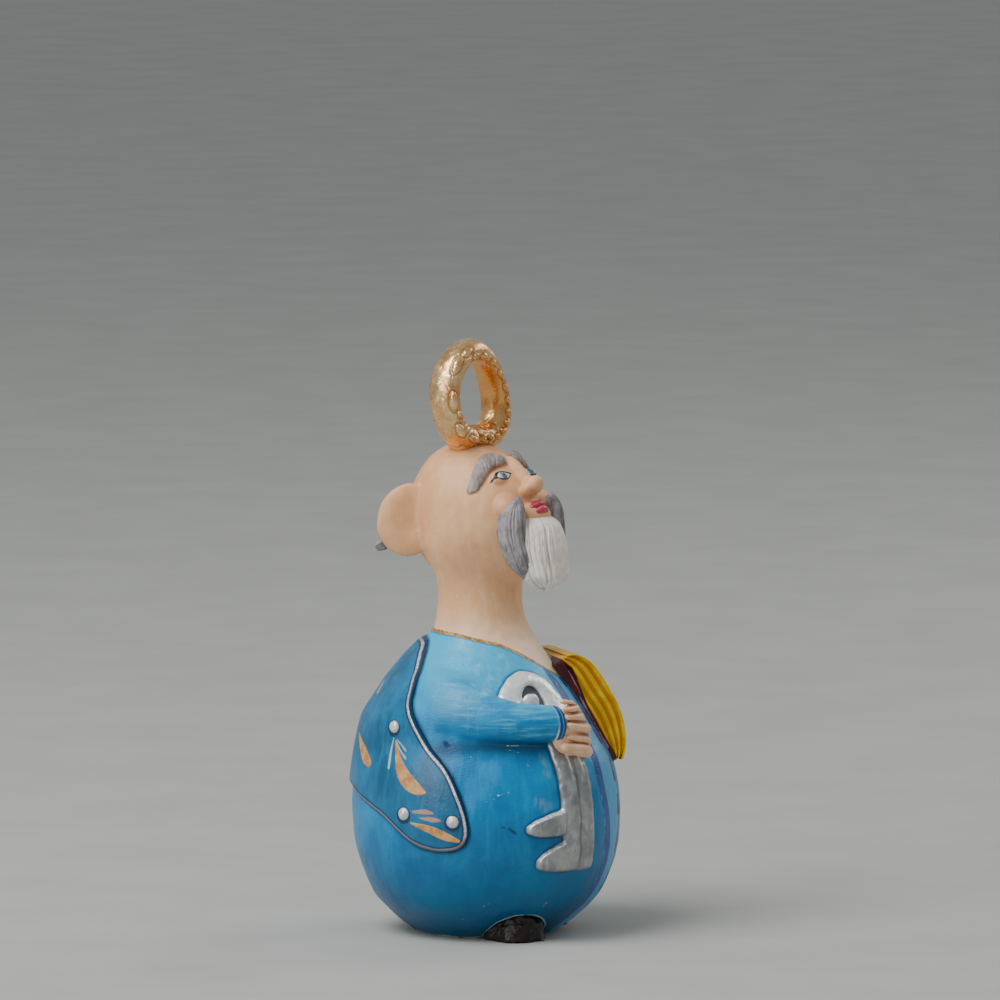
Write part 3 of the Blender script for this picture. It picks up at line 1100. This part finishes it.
def handForms(hand, phi, z, out):
    # a flat lobe round the body, and over it a fan of tapered fingers bent round the body
    turn, polar = loop(80)[None], (np.pi * stations(60, False))[:, None]
    up, reach = np.sin(turn) * np.sin(polar), -np.cos(polar) + 0 * turn
    depth = out + hands["out"] * np.cos(turn) * np.sin(polar)
    ahead = hands["along"] * reach * (1 - hands["slant"] * up)
    forms = [loft(around(hand * (phi - np.degrees(ahead / out)),
                         z + hands["up"] * up - hands["slope"] * reach, depth))]
    for rootTurn, rootUp, tipTurn, tipUp, half in hands["fingers"]:
        v, ring = stations(60)[:, None], loop(30)[None]
        up = mix(rootUp, tipUp, v) + 0.12 * np.sin(5 * v + half * 20)
        thick = 0.96 * half * rounded(v, 0.14) * mix(0.7, 1, v) * (1 + 0.06 * np.sin(9 * v + rootUp))
        depth = out + fingerRise(up, v) + 1.1 * thick * np.cos(ring)
        forms.append(loft(around(hand * (phi + mix(rootTurn, tipTurn, v)) + 0 * ring,
                                 z + up + thick * np.sin(ring), depth)))
    return forms


def handPaint():
    # skin colour, brown in the seams between fingers
    b = Board("handPaint", {"Specular IOR Level": 0.45, "Coat Weight": 0.08})
    cloud, grain = b.noise(3, 3), b.noise(0.7, 3)
    b.colour = b.mix(cloud.rise(0.3, 0.7), tint(244, 188, 142), tint(252, 212, 172))
    b.over(b.field("gap").rise(0.12, 0.7) * 0.9, tint(150, 78, 44))
    b.over(grain.rise(0.55, 0.8) * 0.25, tint(244, 216, 190))
    return b.finish(0.42 + grain * 0.12, grain, 0.12)


def fingerGaps(points, hand, phi, z, out):
    # 1 in the seam between two neighbouring fingers, falling to 0 beside it
    gap = np.zeros(len(points))
    v = np.linspace(0.12, 0.97, 40)
    for upper, lower in zip(hands["fingers"][:-1], hands["fingers"][1:]):
        rootTurn, rootUp, tipTurn, tipUp, half = (np.array(upper) + lower) / 2
        apart = (lower[4] - upper[4]) / 2
        up = mix(rootUp + 0.72 * apart, tipUp + apart, v)
        seam = around(hand * (phi + mix(rootTurn, tipTurn, v)), z + up, out + fingerRise(up, v) + 0.2)
        gap = np.maximum(gap, 1 - gapTo(points, seam, 1.2) / mix(0.5, 0.62, half))
    return np.clip(gap, 0, 1)


skinTone = handPaint()
for name, row in zip(("rightHand", "leftHand"), hands["places"]):
    handMesh = fused(name, handForms(*row), hands["voxel"], hands["rounds"])
    field(handMesh, gap=fingerGaps(pointsOf(handMesh), *row))
    place(name, handMesh, skinTone)


# key on the belly

key = {
    "rise": 1.35, "root": 1.2, "voxel": 0.24, "rounds": 6,
    "bow": {"phi": 36.2, "z": 47.9, "out": 18, "radius": 5.3, "band": 2.6, "high": 4.75, "thin": 1.4},
    "boss": {"phi": 37.9, "z": 48.2, "radius": 1.9, "rise": 1},
    "shaft": {"topPhi": 23.5, "topZ": 44, "lowPhi": 21.5, "lowZ": 14.4, "half": 3.7},
    "bits": [{"phi": 40, "z": 24.2, "width": 8.4, "top": 3.1, "low": -2.2},
             {"phi": 34.5, "z": 17.2, "width": 8.8, "top": 4.4, "low": -2.4}],
}


def sideways(phi, z, mmOver):
    # phi of a place mmOver to the left along the body
    return phi - np.degrees(mmOver / bodyRadius(phi, z))


def keyForms():
    # a ring, a two-ridged bar and two webs, each a flat plate laid on the belly with rounded edges
    k = key["bow"]
    turn, tube = loop(160)[:, None], loop(40)[None]
    out = k["radius"] + k["band"] * np.cos(tube)
    z = k["z"] + (k["high"] + k["thin"] * np.cos(tube)) * np.sin(turn)
    lift = np.where(np.sin(tube) > 0, key["rise"] * np.sin(tube), key["root"] * np.sin(tube)) + 0.35
    forms = [loft(onBody(sideways(k["phi"], k["z"], out * np.cos(turn)), z, lift), ring=True)]
    k = key["shaft"]
    t = np.linspace(0, 1, 90)[:, None]
    a = np.concatenate([np.linspace(-1, 1, 60), [1, -1]])[None]
    corner = np.sqrt(1 - (1 - np.clip(t / 0.1, 0, 1)) ** 2)  # rounds the bar's lower right corner
    a = np.where(a > 0, a * mix(0.55, 1, corner), a)
    edge = np.clip((mix(0.55, 1, corner) * (a > 0) + (a <= 0) - np.abs(a)) / 0.16, 0, 1)
    ridge = key["rise"] * (0.35 + 0.75 * np.abs(np.sin(np.pi * a)) ** 0.7) * np.sqrt(1 - (1 - edge) ** 2)
    ridge = ridge * rounded(t, 0.03)
    ridge[:, -2:] = -key["root"]
    z, phi = mix(k["lowZ"], k["topZ"], t) + 0 * a, mix(k["lowPhi"], k["topPhi"], t)
    forms.append(loft(onBody(sideways(phi, z, k["half"] * a * np.where(a < 0, 1.22, 0.98)), z, ridge)))
    for bit in key["bits"]:
        share = np.linspace(0, 1, 50)[:, None]
        c = np.concatenate([np.linspace(-1, 1, 40), [1, -1]])[None]
        blunt = np.sqrt(1 - (1 - mix(0.02, 1, share)) ** 2.4) * mix(0.82, 1, share)
        z = (bit["z"] + mix(-0.7, (bit["top"] + bit["low"]) / 2, share)
             + 0.5 * c * (bit["top"] - bit["low"]) * blunt)
        plate = key["rise"] * (1 - 0.3 * c**2) * np.sqrt(1 - (1 - np.clip((1 - np.abs(c)) / 0.25, 0, 1)) ** 2)
        plate = plate * np.sqrt(np.clip(share / 0.12, 0.05, 1)) + 0.1
        plate[:, -2:] = -key["root"]
        phi = sideways(bit["phi"], bit["z"], bit["width"] * (share - 0.5))
        forms.append(loft(onBody(phi, z, plate)))
    k = key["boss"]
    forms.append(egg(onBody(k["phi"], k["z"], 0.4), around(k["phi"], 0, k["rise"]),
                     around(k["phi"] + 90, 0, k["radius"]), upward * k["radius"]))
    return forms


def keyPaint():
    # dull silver, whiter where bright and on streaks, darker in the slot and at the foot
    b = Board("keyPaint", {"Specular IOR Level": 0.5})
    cloud, grain = b.noise(4, 3), b.noise(1, 3, (1, 1, 3))
    b.colour = b.mix(cloud.rise(0.35, 0.65), tint(140, 143, 143), tint(178, 179, 178))
    b.over(b.field("bright") * 0.9, tint(250, 250, 252))
    b.over(b.noise(2.4, 3).rise(0.52, 0.72) * 0.45, tint(150, 153, 158))
    b.over(grain.rise(0.5, 0.8) * 0.4, tint(236, 236, 234))
    b.over(b.noise(0.9, 4).rise(0.62, 0.8) * 0.3, tint(120, 122, 124))
    streak = b.field("gleam").rise(0.2, 0.8) * b.noise(0.8, 3, (1, 1, 6)).rise(0.3, 0.56)
    shine = b.field("bright").top(streak)
    b.over(streak, tint(252, 252, 252))
    b.over((b.field("slot") + grain * 1.2 - 0.7).rise(0.4, 0.95) * 0.5, tint(96, 100, 104))
    b.over((b.field("rim") + grain * 0.5 - 0.25).rise(0.3, 0.9) * 0.6, tint(20, 70, 100))
    return b.finish(0.2 + grain * 0.2, cloud * 0.5 + grain * 0.5, 0.14, 0.62 - shine * 0.2)


keyMesh = fused("key", keyForms(), key["voxel"], key["rounds"])
p = handMade(keyMesh, (0.07, 3.4, 41), (0.03, 1.6, 42))
phi, z, out = phiOf(p), p[:, 2], np.hypot(p[:, 0], p[:, 1])
k = key["shaft"]
t = np.clip((z - k["lowZ"]) / (k["topZ"] - k["lowZ"]), 0, 1)
s = (mix(k["lowPhi"], k["topPhi"], t) - phi) * np.pi / 180 * out
wander = 0.25 * np.sin(z / 5) - 0.15
field(keyMesh, slot=np.exp(-(((s - wander) / 0.24) ** 2)) * (z > k["lowZ"] + 2) * (z < k["topZ"] + 1))
ridgeGleam = np.exp(-(((np.abs(s + 0.1) - 1.55) / 0.4) ** 2)) * np.clip((z - 33) / 4, 0, 1) * (z < k["topZ"])
upturned = np.clip((normalsOf(keyMesh)[:, 2] - 0.3) / 0.3, 0, 1) * ((s < -3.9) | (z > 46))
field(keyMesh, gleam=np.clip(ridgeGleam + 0.8 * upturned, 0, 1))
keyLow = out - bodyRadius(phi, z)
field(keyMesh, rim=np.clip(1 - keyLow / 0.35, 0, 1))
field(keyMesh, bright=np.clip((z - 40) / 3, 0, 1))
place("key", keyMesh, keyPaint())
k, turn, high = key["bow"], phiOf(robeSpots), robeSpots[:, 2]
away = np.hypot(np.radians(k["phi"] - turn) * k["out"] / (k["radius"] - k["band"] + 0.7),
                (high - k["z"]) / (k["high"] - k["thin"] + 0.7))
low = np.hypot(robeSpots[:, 0], robeSpots[:, 1]) - bodyRadius(turn, high) < 0.3
field(robeMesh, hole=np.where(low, 1 - away, -1))
field(robeMesh, keyGap=gapTo(robeSpots, p[np.abs(keyLow - 0.1) < 0.12], 1.5))


# book

book = {"phi": -42, "z": 45.1, "top": 11.6, "foot": 12.8, "wide": 17, "thick": 5.9, "cover": 0.4, "lean": 30,
        "sunk": 1.9, "grooves": 4}
bookOut, bookAcross = around(book["phi"], 0, 1), around(book["phi"] + 90, 0, 1)
tip = math.radians(book["lean"])
bookLong = upward * math.cos(tip) - bookOut * math.sin(tip)
bookProud = bookOut * math.cos(tip) + upward * math.sin(tip)
bookMiddle = onBody(book["phi"], book["z"], -book["sunk"])


def inBook(across, proud, long):
    # a place given across the book, out of it and along it
    across, proud, long = (x[..., None] for x in np.broadcast_arrays(across, proud, long))
    return bookMiddle + across * bookAcross + proud * bookProud + long * bookLong


def bookArch(b):
    # height share along the length: blunt at the book's head, running out thinner at its foot
    up = np.sqrt(np.maximum(1 - np.abs(b) ** 3.6, 0))
    return 0.1 + 0.9 * np.where(b > 0, up, np.maximum(1 - np.abs(b) ** 2.1, 0) ** 0.72)


def bookReach(b):
    # mm along the book, for b from -1 at its foot to 1 at its head
    return np.where(b > 0, b * book["top"], b * book["foot"])


def pagesForm():
    # the section's two sides carry grooves that run the length of the block and bend with its arch
    b = np.sin(0.5 * np.pi * np.linspace(-1, 1, 120))[:, None]
    c = np.linspace(-1, 1, 80)
    end = np.linspace(1, -1, 20)[1:-1]
    a = np.concatenate([np.ones(80), end, -np.ones(80), -end])[None]
    c = np.concatenate([c, np.ones(18), c[::-1], -np.ones(18)])[None]
    wave = 0.5 + 0.5 * np.cos(np.pi * book["grooves"] * c + 0.7 * np.sin(2 * b) + 0.3 * np.sin(7 * b))
    notch = 0.5 * (wave ** 0.8 - 0.6)
    thick = book["thick"] * bookArch(b * 0.98)
    q = inBook(a * (book["wide"] / 2 - 0.6 + notch), -1.2 + (thick + 1.2) * (c + 1) / 2,
               bookReach(b) * np.where(b > 0, 0.99, 0.96))
    depth = (1 - wave + 0 * a) * np.clip((1 - b) / 0.05, 0.15, 1)
    edge = np.clip((np.abs(c) - 0.93) / 0.06, 0, 1) + 0 * b
    return loft(q), np.append(depth.ravel(), [0.5, 0.5]), np.append(edge.ravel(), [0, 0])


def outerCoverForm():
    # a thin shell that follows the arch of the pages
    b = np.sin(0.5 * np.pi * np.linspace(-1, 1, 110))[:, None]
    a = np.concatenate([np.linspace(-1, 1, 36), [1.02], np.linspace(1, -1, 36), [-1.02]])[None]
    high = np.concatenate([np.zeros(36), [0.5], np.ones(36), [0.5]])[None]
    thick = book["thick"] * bookArch(b * 0.98) - 0.25 + high * book["cover"]
    return loft(inBook(a * book["wide"] / 2, thick, bookReach(b) + 0 * a))


def innerCoverForm():
    # a flat plate under the pages, narrowed at its ends
    b = np.linspace(-1, 1, 120)[:, None]
    edge = rounded(0.5 + 0.5 * b, 0.03)
    a = np.concatenate([np.linspace(-1, 1, 40), [1.015], np.linspace(1, -1, 40), [-1.015]])[None]
    high = np.concatenate([np.full(40, -1.6), [-0.3], np.full(40, 0.35), [-0.3]])[None]
    reach = bookReach(b) * np.where(b > 0, 0.985, 0.94)
    return loft(inBook(a * book["wide"] / 2 * (0.97 + 0.03 * edge), high + 0 * b, reach + 0 * a))


def pagesPaint():
    # yellow, brown in the grooves, dark red along the spine
    b = Board("pagesPaint", {"Specular IOR Level": 0.35, "Coat Weight": 0.06})
    cloud, grain = b.noise(3.5, 3), b.noise(0.8, 3, (2, 2, 0.8))
    b.colour = b.mix(cloud.rise(0.32, 0.68), tint(240, 180, 0), tint(254, 214, 24))
    groove = (b.field("groove") + grain * 0.4 - 0.2).rise(0.3, 0.85)
    b.over(groove * 0.7, tint(176, 106, 0))
    b.over(grain.rise(0.6, 0.8) * 0.3, tint(255, 226, 84))
    b.over((b.field("edge") + cloud * 0.6 - 0.3).rise(0.3, 0.8) * 0.8, tint(140, 52, 12))
    strip = (b.field("strip") + grain * 0.16 - 0.08).rise(-0.05, 0.08)
    b.over(strip, tint(70, 10, 22))
    b.over((b.field("pink") + grain * 0.2 - 0.1).rise(-0.04, 0.1) * 0.85, tint(196, 138, 152))
    return b.finish(0.32 + grain * 0.14, grain, 0.16)


def coverPaint():
    # dark red with a line of pink
    b = Board("coverPaint", {"Specular IOR Level": 0.35, "Coat Weight": 0.08})
    cloud, grain = b.noise(3, 3), b.noise(0.7, 3)
    b.colour = b.mix(cloud.rise(0.35, 0.65), tint(58, 8, 20), tint(96, 18, 32))
    b.over((b.field("pink") + grain * 0.2 - 0.1).rise(-0.04, 0.1) * 0.85, tint(196, 138, 152))
    return b.finish(0.3 + grain * 0.16, grain, 0.14)


form, groove, edge = pagesForm()
cover = outerCoverForm()
pagesMesh = meshOf("pages", [form, cover])
field(pagesMesh, groove=np.append(groove, np.full(len(cover[0]), 0.1)))
field(pagesMesh, edge=np.append(edge, np.full(len(cover[0]), 0.12)))
pagesMesh.set_sharp_from_angle(angle=math.radians(50))
coversMesh = meshOf("covers", [innerCoverForm()])
coversMesh.set_sharp_from_angle(angle=math.radians(50))
for mesh in (pagesMesh, coversMesh):
    p = pointsOf(mesh) - bookMiddle
    long, proud = p @ bookLong, p @ bookProud
    rise = np.clip(long / 7, 0, 1)
    field(mesh, strip=0.35 + 1.1 * rise - 0.9 * np.clip((long - 9) / 2, 0, 1) - proud)
    field(mesh, pink=0.22 + 0.08 * np.sin(long / 2.1) - np.abs(proud + 0.4 - 0.8 * rise)
          - np.maximum(long - 9, 0) - np.maximum(-9 - long, 0))
place("pages", pagesMesh, pagesPaint())
place("covers", coversMesh, coverPaint())
p = pointsOf(coversMesh)
low = np.hypot(p[:, 0], p[:, 1]) - bodyRadius(phiOf(p), p[:, 2]) < 0.6
field(robeMesh, bookGap=gapTo(robeSpots, p[low], 1.5))


# floor, light and camera

studio = {
    "floor": ((176, 177, 172), (182, 183, 178)),
    "world": 0.44,
    "lamps": {  # to the right, towards the camera and up, in metres, then size and power
        "topLight": (-0.5, 0.35, 0.95, 0.7, 10.6),
        "frontLight": (-0.95, 0.9, 0.4, 0.6, 4.6),
        "backLight": (0.75, -0.6, 0.7, 0.6, 2.4),
    },
    "azimuth": -66, "elevation": 6, "distance": 2.2, "halfField": 0.1013, "right": 0.0028, "up": 0.0868,
}


def floorPaint():
    # two greys mixed by wide noise
    b = Board("floorPaint", {"Roughness": 0.8})
    b.colour = b.mix(b.noise(30, 4).rise(0.3, 0.7), *(tint(*grey) for grey in studio["floor"]))
    b.feed(b.shader.inputs["Base Color"], b.colour)
    return b.material


floorMesh = bpy.data.meshes.new("floor")
floorMesh.from_pydata([(-12, -12, 0), (12, -12, 0), (12, 12, 0), (-12, 12, 0)], [], [(0, 1, 2, 3)])
floorMesh.materials.append(floorPaint())
floor = bpy.data.objects.new("floor", floorMesh)
bpy.context.scene.collection.objects.link(floor)

azimuth, elevation = math.radians(studio["azimuth"]), math.radians(studio["elevation"])
toRight = np.array([math.cos(azimuth), math.sin(azimuth), 0])
toCamera = (np.array([math.sin(azimuth), -math.cos(azimuth), 0]) * math.cos(elevation)
            + upward * math.sin(elevation))
toTop = np.cross(toCamera, toRight)


def aimed(name, data, spot, target):
    # a light or the camera at spot, looking at target: its own z points away from the target
    z = (spot - target) / np.linalg.norm(spot - target)
    x = np.cross(upward, z)
    x /= np.linalg.norm(x)
    made = bpy.data.objects.new(name, data)
    made.location = spot
    made.rotation_mode = "QUATERNION"
    made.rotation_quaternion = Matrix(np.column_stack([x, np.cross(z, x), z]).tolist()).to_quaternion()
    bpy.context.scene.collection.objects.link(made)
    return made


for name, (right, front, up, size, power) in studio["lamps"].items():
    lamp = bpy.data.lights.new(name, "AREA")
    lamp.shape, lamp.size, lamp.energy = "DISK", size, power
    aimed(name, lamp, toRight * right + toCamera * front + upward * up, upward * 0.06)

world = bpy.data.worlds.new("studio")
world.use_nodes = True
sky = world.node_tree.nodes["Background"]
sky.inputs["Color"].default_value = (0.8, 0.84, 0.86, 1)
sky.inputs["Strength"].default_value = studio["world"]
bpy.context.scene.world = world

lens = bpy.data.cameras.new("camera")
lens.sensor_width = 36
lens.lens = 18 * studio["distance"] / studio["halfField"]
lens.clip_start, lens.clip_end = 0.05, 60
target = toRight * studio["right"] + toTop * studio["up"]
bpy.context.scene.camera = aimed("camera", lens, target + toCamera * studio["distance"], target)
print("stage, lights and camera set")
